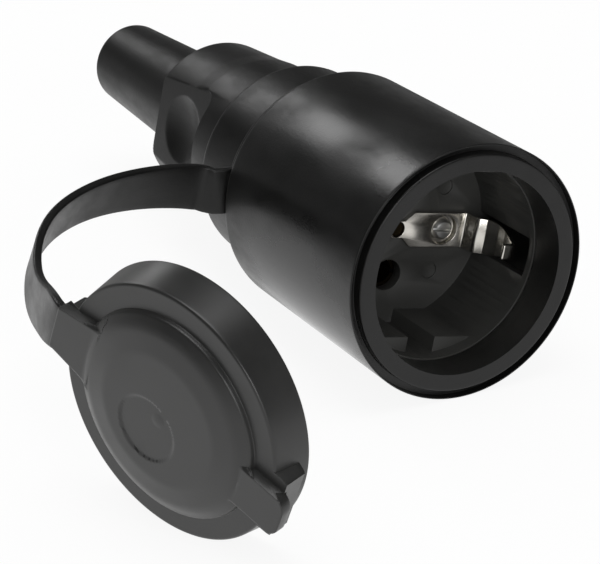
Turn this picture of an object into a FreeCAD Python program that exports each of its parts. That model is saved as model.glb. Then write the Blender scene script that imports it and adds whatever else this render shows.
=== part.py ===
import FreeCAD, Part
import math
import os
import re
import Sketcher

# Rubber inline socket connector with a captive closing lid, millimetres.
# The body axis is Y: the mouth is at y = 0 and faces -Y, the cable leaves at +Y.
# The connector lies on its barrel, rolled a little about its axis. Its lid
# is drawn shut and then swung open about the bend of its strap.

sizes = {
    # rubber housing, outside
    "roll_angle": 11.0,
    "collar_step": 0.2,
    "lip_wall": 3.25,
    "lip_length": 2.2,
    "barrel_wall": 3.3,
    "barrel_taper": 0.6,
    "shoulder_wall": 2.95,
    "neck_wall": 3.8,
    "band_step": 2.2,
    "band_length": 17.4,
    "grip_step": 2.3,
    "grip_taper": 2.0,
    "grip_length": 32.2,
    "flat_wall": 2.8,
    "flat_length": 22.6,
    "dish_radius": 7.0,
    "dish_depth": 1.7,
    "dish_setback": 11.1,
    "tube_wall": 5.3,
    "tube_end_wall": 3.3,
    "tube_length": 41.2,
    "cable_radius": 5.5,
    # rubber housing, inside
    "collar_depth": 7.9,
    "neck_bore_radius": 14.6,
    "grip_bore_radius": 11.2,
    "bore_step": 8.0,
    "bore_taper": 6.0,
    # socket insert
    "insert_wall": 1.85,
    "well_radius": 19.75,
    "well_draft": 0.4,
    "well_depth": 18.2,
    "floor_thickness": 2.5,
    "skirt_length": 6.0,
    "guide_distance": 16.4,
    "guide_setback": 2.8,
    "guide_gap": 6.0,
    "slot_width": 7.6,
    "slot_setback": 1.6,
    "pin_spacing": 19.0,
    "pin_hole_radius": 3.1,
    "mark_radius": 1.6,
    "mark_depth": 0.3,
    # contact carrier behind the floor
    "carrier_thickness": 9.5,
    "carrier_rim": 1.1,
    "arm_thickness": 2.6,
    "clamp_start": 52.5,
    "clamp_length": 9.0,
    "clamp_height": 3.6,
    "clamp_opening": 7.2,
    # contacts
    "pin_bore_radius": 2.45,
    "contact_wall": 0.75,
    "contact_slit": 0.8,
    "block_width": 7.4,
    "block_length": 9.0,
    "wire_hole_radius": 1.6,
    "ring_wall": 0.6,
    "ring_length": 4.0,
    # earth strip, with a sprung clip at each end
    "strip_width": 7.0,
    "strip_thickness": 0.8,
    "waist_half_width": 1.7,
    "waist_half_length": 1.4,
    "waist_end": 3.4,
    "bend_inset": 4.05,
    "clip_gap": 0.2,
    "clip_tip_inset": 2.4,
    "clip_tip_width": 2.4,
    "clip_tip_length": 2.2,
    "clip_depth": 12.7,
    "strip_screw_distance": 10.7,
    "cup_radius": 3.3,
    # screws
    "strip_head_radius": 2.1,
    "head_height": 1.4,
    "shank_radius": 1.45,
    "strip_shank_length": 10.0,
    "terminal_head_radius": 1.9,
    "terminal_shank_length": 2.6,
    "clamp_screw_distance": 8.6,
    "screw_slot": 0.6,
    "screw_relief": 0.6,
    "nut_radius": 2.9,
    "nut_thickness": 2.4,
    # lid
    "lid_clearance": 0.95,
    "lid_wall": 0.5,
    "lid_draft": 0.95,
    "lid_height": 7.6,
    "lid_rim_depth": 2.3,
    "lid_land": 2.85,
    "lid_inner_depth": 5.6,
    "dome_inset": 2.1,
    "dome_step": 1.9,
    "dome_rise": 0.9,
    "lug_width": 13.0,
    "lug_reach": 0.9,
    "strap_angle": 29.56,
    "root_width": 10.8,
    "strap_end_width": 9.0,
    "tab_width": 8.6,
    "tab_reach": 2.9,
    "tab_thickness": 2.2,
    "pad_sink": 0.4,
    "pad_overlap": 1.5,
    # lid strap and its neck ring
    "ring_thickness": 2.2,
    "ring_width": 4.6,
    "strap_thickness": 2.0,
    "lid_strap_width": 10.4,
    "strap_height": 3.2,
    # way of the strap, left of the barrel's side, behind the neck ring and above the axis
    "lead_left": 2.5,
    "lead_back": 3.3,
    "lead_up": 3.7,
    "crest_left": 15.0,
    "crest_back": 3.1,
    "crest_up": 6.2,
    "bow_left": 35.1,
    "bow_ahead": 4.0,
    "bow_up": 6.8,
    "drop_left": 49.0,
    "drop_ahead": 19.0,
    "drop_up": 4.9,
    "turn_left": 55.3,
    "turn_ahead": 36.0,
    "turn_up": 5.8,
    "rise_left": 58.6,
    "rise_ahead": 45.5,
    "rise_up": 8.5,
    "root_lead": 1.2,
    "strap_lean": 0.12,
    "twist_end": 0.7,
    # swing of the lid about the bend of its strap
    "hinge_left": 25.67,
    "hinge_ahead": 13.04,
    "hinge_lean_back": 7.45,
    "hinge_lean_side": 3.18,
    "lid_turn": 71.62,
    # clearances and roundings
    "fit_gap": 0.1,
    "seat_gap": 0.3,
    "small_bevel": 0.3,
    "edge_bevel": 0.6,
    "soft_bevel": 1.2,
}

# Sizes that follow from others, so that the walls and steps between them stay.
follows = {
    "insert_radius": "(well_radius + insert_wall)",
    "well_floor_radius": "(well_radius - well_draft)",
    "mouth_radius": "(well_radius + collar_step)",
    "lip_radius": "(mouth_radius + lip_wall)",
    "barrel_radius": "(insert_radius + fit_gap + barrel_wall)",
    "barrel_rear_radius": "(barrel_radius - barrel_taper)",
    "insert_front": "(collar_depth + fit_gap)",
    "floor_top": "(insert_front + well_depth)",
    "floor_back": "(floor_top + floor_thickness)",
    "carrier_front": "(floor_back + fit_gap)",
    "carrier_back": "(carrier_front + carrier_thickness)",
    "block_front": "(carrier_back + fit_gap)",
    "seat_end": "(block_front + block_length + 1.5 * fit_gap)",
    "barrel_length": "(seat_end + shoulder_wall)",
    "neck_radius": "(neck_bore_radius + neck_wall)",
    "neck_ring_radius": "(neck_radius + ring_width)",
    "band_radius": "(neck_radius + band_step)",
    "band_end": "(barrel_length + band_length)",
    "grip_front_radius": "(band_radius - grip_step)",
    "grip_rear_radius": "(grip_front_radius - grip_taper)",
    "grip_end": "(band_end + grip_length)",
    "flat_distance": "(grip_bore_radius + flat_wall)",
    "tube_radius": "(cable_radius + tube_wall)",
    "tube_end_radius": "(cable_radius + tube_end_wall)",
    "tube_end": "(grip_end + tube_length)",
    "lid_rim_bore": "(lip_radius + lid_clearance)",
    "lid_radius": "(lid_rim_bore + lid_wall)",
    "lid_shoulder_radius": "(lid_radius - lid_draft)",
    "lid_bore": "(lid_rim_bore - lid_land)",
    "dome_radius": "(lid_bore - dome_inset)",
}

doc = FreeCAD.newDocument("InlineSocket")
sheet = doc.addObject("Spreadsheet::Sheet", "Sizes")
for row, (alias, number) in enumerate(sizes.items(), start=1):
    sheet.set(f"A{row}", alias)
    sheet.set(f"B{row}", str(number))
    sheet.setAlias(f"B{row}", alias)
doc.recompute()

word = re.compile(r"[a-z]+(?:_[a-z]+)+")


def spelled(text):
    """Write out the sizes that follow from others, until only sheet aliases are left."""
    while any(name in follows for name in word.findall(text)):
        text = word.sub(lambda found: follows.get(found.group(0), found.group(0)), text)
    return text


def bound(text):
    """Turn an expression in size names into one that other objects can hold."""
    return word.sub(lambda found: "Sizes." + found.group(0), spelled(text))


def size(text):
    """The value of an expression in size names."""
    return float(sheet.evalExpression(spelled(text)))


def origin_plane(body, role):
    return [feature for feature in body.Origin.OriginFeatures if feature.Role == role][0]


def new_body(name):
    body = doc.addObject("PartDesign::Body", name)
    body.Label = name
    return body


def outline(body, name, plane, loops, offset="0"):
    """A sketch of closed polygons whose every corner follows the sheet."""
    sketch = body.newObject("Sketcher::SketchObject", name)
    sketch.AttachmentSupport = [(origin_plane(body, plane), "")]
    sketch.MapMode = "FlatFace"
    sketch.setExpression(".AttachmentOffset.Base.z", bound(offset))
    for corners in loops:
        points = [FreeCAD.Vector(size(x), size(y), 0) for x, y in corners]
        first = None
        for index, start in enumerate(points):
            end = points[(index + 1) % len(points)]
            line = sketch.addGeometry(Part.LineSegment(start, end), False)
            first = line if first is None else first
            if line > first:
                sketch.addConstraint(Sketcher.Constraint("Coincident", line - 1, 2, line, 1))
        sketch.addConstraint(Sketcher.Constraint("Coincident", line, 2, first, 1))
        for index, (x, y) in enumerate(corners):
            for kind, text, value in (("DistanceX", x, points[index].x), ("DistanceY", y, points[index].y)):
                rule = Sketcher.Constraint(kind, -1, 1, first + index, 1, value)
                number = sketch.addConstraint(rule)
                sketch.setExpression(f"Constraints[{number}]", bound(text))
    return sketch


def discs(body, name, plane, circles, offset="0"):
    """A sketch of circles, each given as centre x, centre y and radius."""
    sketch = body.newObject("Sketcher::SketchObject", name)
    sketch.AttachmentSupport = [(origin_plane(body, plane), "")]
    sketch.MapMode = "FlatFace"
    sketch.setExpression(".AttachmentOffset.Base.z", bound(offset))
    for x, y, radius in circles:
        centre = FreeCAD.Vector(size(x), size(y), 0)
        round_edge = Part.Circle(centre, FreeCAD.Vector(0, 0, 1), size(radius))
        circle = sketch.addGeometry(round_edge, False)
        rules = (
            (Sketcher.Constraint("DistanceX", -1, 1, circle, 3, centre.x), x),
            (Sketcher.Constraint("DistanceY", -1, 1, circle, 3, centre.y), y),
            (Sketcher.Constraint("Radius", circle, size(radius)), radius),
        )
        for rule, text in rules:
            number = sketch.addConstraint(rule)
            sketch.setExpression(f"Constraints[{number}]", bound(text))
    return sketch


def revolve(body, name, corners):
    """Turn a profile of (radius, y) corners about the body axis."""
    turned = body.newObject("PartDesign::Revolution", name)
    profile = outline(body, name + "Profile", "XY_Plane", [corners])
    turned.Profile = profile
    turned.ReferenceAxis = (profile, ["V_Axis"])
    turned.Angle = 360.0
    body.Tip = turned
    profile.Visibility = False
    return turned


def extrude(body, kind, name, sketch, length, both_ways=False):
    """Pad or pocket a sketch rearwards (towards +Y for sketches across the axis)."""
    feature = body.newObject("PartDesign::" + kind, name)
    feature.Profile = sketch
    feature.setExpression("Length", bound(length))
    if both_ways:
        feature.SideType = "Symmetric"
    elif kind == "Pad":
        feature.Reversed = True
    body.Tip = feature
    sketch.Visibility = False
    return feature


def rectangle(x_low, x_high, y_low, y_high):
    return [(x_low, y_low), (x_high, y_low), (x_high, y_high), (x_low, y_high)]


def hexagon(x, y, radius):
    """Six corners, two of them on the X direction through the centre."""
    turns = [math.radians(60 * step) for step in range(6)]
    return [
        (f"{x} + ({radius}) * {math.cos(turn):.5f}", f"{y} + ({radius}) * {math.sin(turn):.5f}")
        for turn in turns
    ]


# The socket's pieces share one roll about the body axis.
rolled = FreeCAD.Placement(
    FreeCAD.Vector(0, 0, 0), FreeCAD.Rotation(FreeCAD.Vector(0, 1, 0), size("roll_angle"))
)

# Places along the axis that several features share.
skirt_end = "floor_back + skirt_length"
ring_groove_end = "barrel_length + ring_thickness + 2 * fit_gap"

# Rubber housing: barrel, neck, grip and cable tube are one moulding.
housing = new_body("rubber_housing")
revolve(housing, "Shell", [
    ("mouth_radius", "0"),
    ("lip_radius - small_bevel", "0"),
    ("lip_radius", "small_bevel"),
    ("lip_radius", "lip_length"),
    ("barrel_radius - edge_bevel", "lip_length"),
    ("barrel_radius", "lip_length + edge_bevel"),
    ("barrel_rear_radius", "barrel_length - edge_bevel"),
    ("barrel_rear_radius - edge_bevel", "barrel_length"),
    ("neck_radius", "barrel_length"),
    ("neck_radius", ring_groove_end),
    ("band_radius", ring_groove_end),
    ("band_radius", "band_end - soft_bevel"),
    ("band_radius - soft_bevel", "band_end"),
    ("grip_front_radius", "band_end"),
    ("grip_rear_radius", "grip_end - edge_bevel"),
    ("grip_rear_radius - edge_bevel", "grip_end"),
    ("tube_radius", "grip_end"),
    ("tube_end_radius", "tube_end - edge_bevel"),
    ("tube_end_radius - edge_bevel", "tube_end"),
    ("cable_radius", "tube_end"),
    ("cable_radius", "grip_end + bore_taper / 3"),
    ("grip_bore_radius", "grip_end - bore_taper * 2 / 3"),
    ("grip_bore_radius", "band_end + bore_step"),
    ("neck_bore_radius", "band_end"),
    ("neck_bore_radius", "seat_end"),
    ("insert_radius + fit_gap", "seat_end"),
    ("insert_radius + fit_gap", "collar_depth"),
    ("mouth_radius", "collar_depth"),
])
flat_start = "(grip_end - flat_length)"
flats = outline(housing, "FlatProfile", "XZ_Plane", [
    rectangle("-band_radius * 1.2", "-flat_distance", "-band_radius", "band_radius"),
    rectangle("flat_distance", "band_radius * 1.2", "-band_radius", "band_radius"),
], f"-{flat_start}")
extrude(housing, "Pocket", "GripFlats", flats, "flat_length + 1")
ball_radius = "(dish_radius * dish_radius + dish_depth * dish_depth) / (2 * dish_depth)"
for side, sign in (("Left", "-1"), ("Right", "1")):
    ball = housing.newObject("PartDesign::SubtractiveSphere", "Dish" + side)
    ball.setExpression("Radius", bound(ball_radius))
    centre = f"{sign} * (flat_distance + {ball_radius} - dish_depth)"
    ball.setExpression(".AttachmentOffset.Base.x", bound(centre))
    ball.setExpression(".AttachmentOffset.Base.y", bound("grip_end - dish_setback"))
    ball.AttachmentSupport = [(origin_plane(housing, "XY_Plane"), "")]
    ball.MapMode = "FlatFace"
    housing.Tip = ball
housing.Placement = rolled

# Socket insert: the round well that a plug enters, with its floor and skirt.
insert = new_body("socket_insert")
revolve(insert, "Cup", [
    ("0", "floor_top"),
    ("well_floor_radius", "floor_top"),
    ("well_radius", "insert_front"),
    ("insert_radius", "insert_front"),
    ("insert_radius", skirt_end),
    ("insert_radius - carrier_rim", skirt_end),
    ("insert_radius - carrier_rim", "floor_back"),
    ("0", "floor_back"),
])
# Crescent guides along both ends of the pin line, each parted by a channel.
wall_middle = "(insert_radius - insert_wall / 2)"
chord_end = f"sqrt({wall_middle} * {wall_middle} - guide_distance * guide_distance)"
channel_top = f"sqrt({wall_middle} * {wall_middle} - guide_gap * guide_gap / 4)"
half_way = f"({chord_end} * 0.62)"
half_way_top = f"sqrt({wall_middle} * {wall_middle} - {half_way} * {half_way})"
crescents = []
for across in ("-1", "1"):
    for along in ("-1", "1"):
        crescents.append([
            (f"{across} * guide_gap / 2", f"{along} * guide_distance"),
            (f"{across} * {chord_end}", f"{along} * guide_distance"),
            (f"{across} * {half_way}", f"{along} * {half_way_top}"),
            (f"{across} * guide_gap / 2", f"{along} * {channel_top}"),
        ])
guides = outline(insert, "GuideProfile", "XZ_Plane", crescents, "-(insert_front + guide_setback)")
extrude(insert, "Pad", "Guides", guides, "well_depth - guide_setback + fit_gap")
slots = outline(insert, "SlotProfile", "XZ_Plane", [
    rectangle("-well_radius * 1.2", "-well_radius * 0.9", "-slot_width / 2", "slot_width / 2"),
    rectangle("well_radius * 0.9", "well_radius * 1.2", "-slot_width / 2", "slot_width / 2"),
], "-(insert_front + slot_setback)")
extrude(insert, "Pocket", "ClipSlots", slots, "well_depth - slot_setback")
pin_holes = discs(insert, "PinHoleProfile", "XZ_Plane", [
    ("0", "pin_spacing / 2", "pin_hole_radius"),
    ("0", "-pin_spacing / 2", "pin_hole_radius"),
], "-floor_top")
extrude(insert, "Pocket", "PinHoles", pin_holes, "floor_thickness")
cups = discs(insert, "CupHoleProfile", "XZ_Plane", [
    ("strip_screw_distance", "0", "cup_radius + fit_gap"),
    ("-strip_screw_distance", "0", "cup_radius + fit_gap"),
    ("0", "0", "shank_radius + 2 * fit_gap"),
], "-floor_top")
extrude(insert, "Pocket", "CupHoles", cups, "floor_thickness")
marks = discs(insert, "MarkProfile", "XZ_Plane", [
    (f"{across} * strip_screw_distance * 0.9", f"{along} * pin_spacing * 0.45", "mark_radius")
    for across in ("-1", "1") for along in ("-1", "1")
], "-floor_top")
extrude(insert, "Pocket", "FloorMarks", marks, "mark_depth")
insert.Placement = rolled

# Contact carrier: holds the contacts behind the floor and reaches back to the cord clamp.
carrier_radius = "(insert_radius - carrier_rim - fit_gap)"
half_opening = "clamp_opening / 2"
arm_outer = "(neck_bore_radius - 1.6)"
cradle_low = f"(-({half_opening} + clamp_height))"
carrier = new_body("contact_carrier")
revolve(carrier, "Disc", [
    ("0", "carrier_front"),
    (carrier_radius, "carrier_front"),
    (carrier_radius, "carrier_back"),
    ("0", "carrier_back"),
])
arms = outline(carrier, "ArmProfile", "XZ_Plane", [
    rectangle(f"-{arm_outer} + 1", f"-{arm_outer} + 1 + arm_thickness", cradle_low, f"-{half_opening} + 1"),
    rectangle(f"{arm_outer} - 1 - arm_thickness", f"{arm_outer} - 1", cradle_low, f"-{half_opening} + 1"),
], "-(carrier_front + 1)")
extrude(carrier, "Pad", "Arms", arms, "clamp_start - (carrier_front + 1) + 1")
cradle = outline(carrier, "CradleProfile", "XZ_Plane", [[
    (f"-{arm_outer} + 1", cradle_low),
    (f"{arm_outer} - 1", cradle_low),
    (f"{arm_outer} - 1", f"-{half_opening} + 1"),
    (f"{half_opening} + 1.2", f"-{half_opening} + 1"),
    (half_opening, f"-{half_opening}"),
    (f"-{half_opening}", f"-{half_opening}"),
    (f"-{half_opening} - 1.2", f"-{half_opening} + 1"),
    (f"-{arm_outer} + 1", f"-{half_opening} + 1"),
]], "-clamp_start")
extrude(carrier, "Pad", "Cradle", cradle, "clamp_length")
tube_outer = "(pin_bore_radius + contact_wall)"
ring_outer = f"({tube_outer} + ring_wall)"
tube_holes = discs(carrier, "TubeHoleProfile", "XZ_Plane", [
    ("0", "pin_spacing / 2", f"{ring_outer} + 2 * fit_gap"),
    ("0", "-pin_spacing / 2", f"{ring_outer} + 2 * fit_gap"),
    ("0", "0", "shank_radius + 2 * fit_gap"),
], "-carrier_front")
extrude(carrier, "Pocket", "TubeHoles", tube_holes, "carrier_thickness")
screw_tip = "(floor_top + strip_shank_length)"
screw_holes = discs(carrier, "ScrewHoleProfile", "XZ_Plane", [
    ("strip_screw_distance", "0", "shank_radius + fit_gap"),
    ("-strip_screw_distance", "0", "shank_radius + fit_gap"),
], "-carrier_front")
extrude(carrier, "Pocket", "ScrewHoles", screw_holes, f"{screw_tip} + screw_relief - carrier_front")
clamp_holes = discs(carrier, "ClampHoleProfile", "XY_Plane", [
    ("clamp_screw_distance", "clamp_start + clamp_length / 2", "shank_radius + fit_gap"),
    ("-clamp_screw_distance", "clamp_start + clamp_length / 2", "shank_radius + fit_gap"),
])
extrude(carrier, "Pocket", "ClampHoles", clamp_holes, "clamp_height * 6", both_ways=True)
clamp_middle = "(clamp_start + clamp_length / 2)"
nut_beds = outline(carrier, "NutBedProfile", "XY_Plane", [
    hexagon("clamp_screw_distance", clamp_middle, "nut_radius + fit_gap"),
    hexagon("-clamp_screw_distance", clamp_middle, "nut_radius + fit_gap"),
], cradle_low)
nut_pocket = extrude(carrier, "Pocket", "NutBeds", nut_beds, "nut_thickness + fit_gap")
nut_pocket.Reversed = True
carrier.Placement = rolled


# Line and neutral contacts: a slit tube for the plug's pin on a terminal block.
def pin_contact(name, up):
    body = new_body(name)
    place = f"{up} * pin_spacing / 2"
    block = outline(body, "BlockProfile", "XZ_Plane", [rectangle(
        "-block_width / 2", "block_width / 2",
        f"{place} - block_width / 2", f"{place} + block_width / 2",
    )], "-block_front")
    extrude(body, "Pad", "Block", block, "block_length")
    tube = discs(body, "TubeProfile", "XZ_Plane", [("0", place, tube_outer)], "-carrier_front")
    extrude(body, "Pad", "Tube", tube, "block_front - carrier_front + fit_gap")
    bore = discs(body, "BoreProfile", "XZ_Plane", [("0", place, "pin_bore_radius")], "-carrier_front")
    extrude(body, "Pocket", "Bore", bore, "carrier_thickness + block_length * 0.4")
    slit = outline(body, "SlitProfile", "XZ_Plane", [rectangle(
        "0", f"{tube_outer} * 1.2", f"{place} - contact_slit / 2", f"{place} + contact_slit / 2",
    )], "-carrier_front")
    extrude(body, "Pocket", "Slit", slit, "carrier_thickness * 0.8")
    wire = discs(body, "WireHoleProfile", "XZ_Plane", [("0", place, "wire_hole_radius")],
                 "-(block_front + block_length * 0.5)")
    extrude(body, "Pocket", "WireHole", wire, "block_length")
    threaded = discs(body, "ThreadProfile", "XY_Plane", [
        ("0", "block_front + block_length * 0.7", "shank_radius"),
    ], place)
    thread = extrude(body, "Pocket", "Thread", threaded, "block_width")
    thread.Reversed = up == "1"
    body.Placement = rolled
    return body


pin_contact("contact_upper", "1")
pin_contact("contact_lower", "-1")


# Spring ring that keeps each slit tube tight on the pin.
def spring_ring(name, up):
    body = new_body(name)
    place = f"{up} * pin_spacing / 2"
    band = discs(body, "RingProfile", "XZ_Plane", [("0", place, ring_outer)], "-(carrier_front + 1)")
    extrude(body, "Pad", "Ring", band, "ring_length")
    hole = discs(body, "HoleProfile", "XZ_Plane", [("0", place, f"{tube_outer} + 0.2 * fit_gap")],
                 "-(carrier_front + 1)")
    extrude(body, "Pocket", "Hole", hole, "ring_length")
    gap = outline(body, "GapProfile", "XZ_Plane", [rectangle(
        f"-{ring_outer} * 1.2", "0", f"{place} - contact_slit", f"{place} + contact_slit",
    )], "-(carrier_front + 1)")
    extrude(body, "Pocket", "Gap", gap, "ring_length")
    body.Placement = rolled


spring_ring("contact_ring_upper", "1")
spring_ring("contact_ring_lower", "-1")


# A bent strip: its centre line is straight runs joined by tangent arcs.
def bent_path(points, radius):
    edges = []
    start = points[0]
    for here, corner, after in zip(points, points[1:], points[2:]):
        into = (corner - here).normalize()
        out = (after - corner).normalize()
        turn = math.acos(max(-1.0, min(1.0, into.dot(out))))
        reach = min((corner - here).Length, (after - corner).Length) * 0.48
        setback = min(radius * math.tan(turn / 2), reach)
        bend = setback / math.tan(turn / 2)
        arc_start = corner - into * setback
        arc_end = corner + out * setback
        middle = corner + (out - into).normalize() * (bend / math.cos(turn / 2) - bend)
        edges.append(Part.LineSegment(start, arc_start).toShape())
        edges.append(Part.Arc(arc_start, middle, arc_end).toShape())
        start = arc_end
    edges.append(Part.LineSegment(start, points[-1]).toShape())
    return Part.Wire(edges)


def bent_band(points, radius, thickness):
    """The side view of a bent strip, as a face around its centre line."""
    path = bent_path(points, radius)
    return Part.Face(path.makeOffset2D(thickness / 2, 0, False, False, True))


# Earth strip: one strip of sheet across the floor, sprung up into a clip at each end.
def earth_strip_shape():
    thick = size("strip_thickness")
    low = size("floor_top") - thick / 2
    bend = size("well_radius - bend_inset")
    wall = size("well_radius - clip_gap")
    tip = size("clip_depth")
    tip_middle = size("well_radius - clip_tip_inset")
    tip_reach = size("clip_tip_length / 2")
    side = [
        FreeCAD.Vector(bend, low, 0),
        FreeCAD.Vector(bend + 0.5, low - 3.3, 0),
        FreeCAD.Vector(bend + 2.2, low - 4.0, 0),
        FreeCAD.Vector(wall, low - 6.4, 0),
        FreeCAD.Vector(wall, low - 8.6, 0),
        FreeCAD.Vector(tip_middle + tip_reach, tip, 0),
        FreeCAD.Vector(tip_middle - tip_reach, tip, 0),
    ]
    other = [FreeCAD.Vector(-point.x, point.y, 0) for point in reversed(side)]
    band = bent_band(other + side, thick * 1.2, thick)
    half = size("strip_width") / 2
    strip = band.extrude(FreeCAD.Vector(0, 0, 2 * half)).translated(FreeCAD.Vector(0, 0, -half))
    # the clips taper from the strip's width to their tips
    tip_half = size("clip_tip_width") / 2
    keep = Part.makePolygon([
        FreeCAD.Vector(0, low + thick, -half), FreeCAD.Vector(0, low - 5.0, -half),
        FreeCAD.Vector(0, tip - 1.0, -tip_half), FreeCAD.Vector(0, tip - 4.0, -tip_half),
        FreeCAD.Vector(0, tip - 4.0, tip_half), FreeCAD.Vector(0, tip - 1.0, tip_half),
        FreeCAD.Vector(0, low - 5.0, half), FreeCAD.Vector(0, low + thick, half),
        FreeCAD.Vector(0, low + thick, -half),
    ])
    width = size("insert_radius") * 2
    keep = Part.Face(keep).extrude(FreeCAD.Vector(width, 0, 0)).translated(FreeCAD.Vector(-width / 2, 0, 0))
    strip = strip.common(keep)
    # and its middle narrows to a waist round the stud
    flank = size("waist_end")
    waist = size("waist_half_length")
    narrow = size("waist_half_width")
    right = [(waist, narrow), (flank, half), (width, half), (width, -half), (flank, -half), (waist, -narrow)]
    plan = right + [(-x, -z) for x, z in right]
    corners = [FreeCAD.Vector(x, 0, z) for x, z in plan + plan[:1]]
    strip = strip.common(Part.Face(Part.makePolygon(corners)).extrude(FreeCAD.Vector(0, 2 * width, 0)))
    # each screw sits in a round cup that is pressed into the strip
    across = FreeCAD.Vector(0, 1, 0)
    depth = size("head_height") + thick
    for sign in (-1, 1):
        centre = FreeCAD.Vector(sign * size("strip_screw_distance"), size("floor_top") - thick, 0)
        outer = Part.makeCylinder(size("cup_radius"), depth, centre, across)
        inner = Part.makeCylinder(size("cup_radius") - thick / 2, depth - thick, centre, across)
        hole = Part.makeCylinder(size("shank_radius") + size("fit_gap"), depth * 2, centre, across)
        strip = strip.fuse(outer).cut(inner).cut(hole)
    stud = Part.makeCylinder(size("shank_radius") + size("fit_gap"), depth * 4,
                             FreeCAD.Vector(0, size("floor_top") - 2 * thick, 0), across)
    strip = strip.cut(stud)
    return strip.removeSplitter()


earth_strip = doc.addObject("Part::Feature", "earth_strip")
earth_strip.Label = "earth_strip"
earth_strip.Shape = earth_strip_shape()
earth_strip.Placement = rolled

# Earth terminal: a block behind the carrier on a stud from the strip.
earth = new_body("earth_terminal")
earth_block = outline(earth, "BlockProfile", "XZ_Plane", [rectangle(
    "-block_width / 2", "block_width / 2", "-block_width / 2 + 0.3", "block_width / 2 - 0.3",
)], "-block_front")
extrude(earth, "Pad", "Block", earth_block, "block_length")
stud = discs(earth, "StudProfile", "XZ_Plane", [("0", "0", "shank_radius")], "-(floor_top - strip_thickness * 0.3)")
extrude(earth, "Pad", "Stud", stud, "block_front - floor_top + strip_thickness * 0.3 + fit_gap")
earth_wire = discs(earth, "WireHoleProfile", "XZ_Plane", [("0", "0", "wire_hole_radius")],
                   "-(block_front + block_length * 0.3)")
extrude(earth, "Pocket", "WireHole", earth_wire, "block_length")
earth_thread = discs(earth, "ThreadProfile", "YZ_Plane", [
    ("block_front + block_length * 0.7", "0", "shank_radius"),
])
thread_pocket = extrude(earth, "Pocket", "Thread", earth_thread, "block_width")
thread_pocket.Reversed = True
earth.Placement = rolled


# Slotted screw, head up: the underside of its head is at the origin.
def screw(name, head_radius, shank_length, place, head_direction):
    body = new_body(name)
    profile = outline(body, "ScrewProfile", "XZ_Plane", [[
        ("0", f"-({shank_length})"),
        ("shank_radius - 0.5 * fit_gap", f"-({shank_length})"),
        ("shank_radius - 0.5 * fit_gap", "0"),
        (head_radius, "0"),
        (head_radius, "head_height * 0.6"),
        (f"{head_radius} * 0.75", "head_height"),
        ("0", "head_height"),
    ]])
    turned = body.newObject("PartDesign::Revolution", "Turned")
    turned.Profile = profile
    turned.ReferenceAxis = (profile, ["V_Axis"])
    turned.Angle = 360.0
    body.Tip = turned
    slot = outline(body, "SlotProfile", "XY_Plane", [rectangle(
        f"-{head_radius} * 1.2", f"{head_radius} * 1.2", "-screw_slot / 2", "screw_slot / 2",
    )], "head_height")
    extrude(body, "Pocket", "Slot", slot, "head_height * 0.5")
    turn = FreeCAD.Rotation(FreeCAD.Vector(0, 0, 1), head_direction)
    body.Placement = rolled.multiply(FreeCAD.Placement(place, turn))
    return body


ahead = FreeCAD.Vector(0, -1, 0)
cup_seat = size("floor_top") + size("head_height") - size("strip_thickness")
for name, sign in (("strip_screw_left", -1), ("strip_screw_right", 1)):
    place = FreeCAD.Vector(sign * size("strip_screw_distance"), cup_seat, 0)
    screw(name, "strip_head_radius", "strip_shank_length - head_height", place, ahead)
terminal_y = size("block_front") + size("block_length") * 0.7
block_half = size("block_width") / 2
pin_z = size("pin_spacing") / 2
for name, sign in (("terminal_screw_upper", 1), ("terminal_screw_lower", -1)):
    place = FreeCAD.Vector(0, terminal_y, sign * (pin_z + block_half))
    screw(name, "terminal_head_radius", "terminal_shank_length", place, FreeCAD.Vector(0, 0, sign))
screw("earth_terminal_screw", "terminal_head_radius", "terminal_shank_length",
      FreeCAD.Vector(block_half, terminal_y, 0), FreeCAD.Vector(1, 0, 0))

# Clamp saddle: a bridge that two screws pull down on the cable.
saddle = new_body("clamp_saddle")
saddle_top = f"({half_opening} + clamp_height * 0.6)"
bridge = outline(saddle, "BridgeProfile", "XZ_Plane", [[
    (f"-{arm_outer} + 1.6", f"{half_opening} - 1.2"),
    (f"-{half_opening} - 1.2", f"{half_opening} - 1.2"),
    (f"-{half_opening}", half_opening),
    (half_opening, half_opening),
    (f"{half_opening} + 1.2", f"{half_opening} - 1.2"),
    (f"{arm_outer} - 1.6", f"{half_opening} - 1.2"),
    (f"{arm_outer} - 1.6", f"{half_opening} + 0.6"),
    (f"{half_opening}", saddle_top),
    (f"-{half_opening}", saddle_top),
    (f"-{arm_outer} + 1.6", f"{half_opening} + 0.6"),
]], "-(clamp_start + 1)")
extrude(saddle, "Pad", "Bridge", bridge, "clamp_length - 2")
saddle_seat = size(f"{half_opening} + 0.6")
seats = discs(saddle, "SeatProfile", "XY_Plane", [
    ("clamp_screw_distance", "clamp_start + clamp_length / 2", "terminal_head_radius + 2 * fit_gap"),
    ("-clamp_screw_distance", "clamp_start + clamp_length / 2", "terminal_head_radius + 2 * fit_gap"),
], f"{half_opening} + 0.6")
seat_pocket = extrude(saddle, "Pocket", "Seats", seats, "clamp_height")
seat_pocket.Reversed = True
saddle_holes = discs(saddle, "HoleProfile", "XY_Plane", [
    ("clamp_screw_distance", "clamp_start + clamp_length / 2", "shank_radius + 2 * fit_gap"),
    ("-clamp_screw_distance", "clamp_start + clamp_length / 2", "shank_radius + 2 * fit_gap"),
])
extrude(saddle, "Pocket", "Holes", saddle_holes, "clamp_opening * 3", both_ways=True)
saddle.Placement = rolled
clamp_y = size(clamp_middle)
for name, sign in (("clamp_screw_left", -1), ("clamp_screw_right", 1)):
    place = FreeCAD.Vector(sign * size("clamp_screw_distance"), clamp_y, saddle_seat)
    screw(name, "terminal_head_radius", "clamp_opening + clamp_height", place, FreeCAD.Vector(0, 0, 1))


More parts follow.
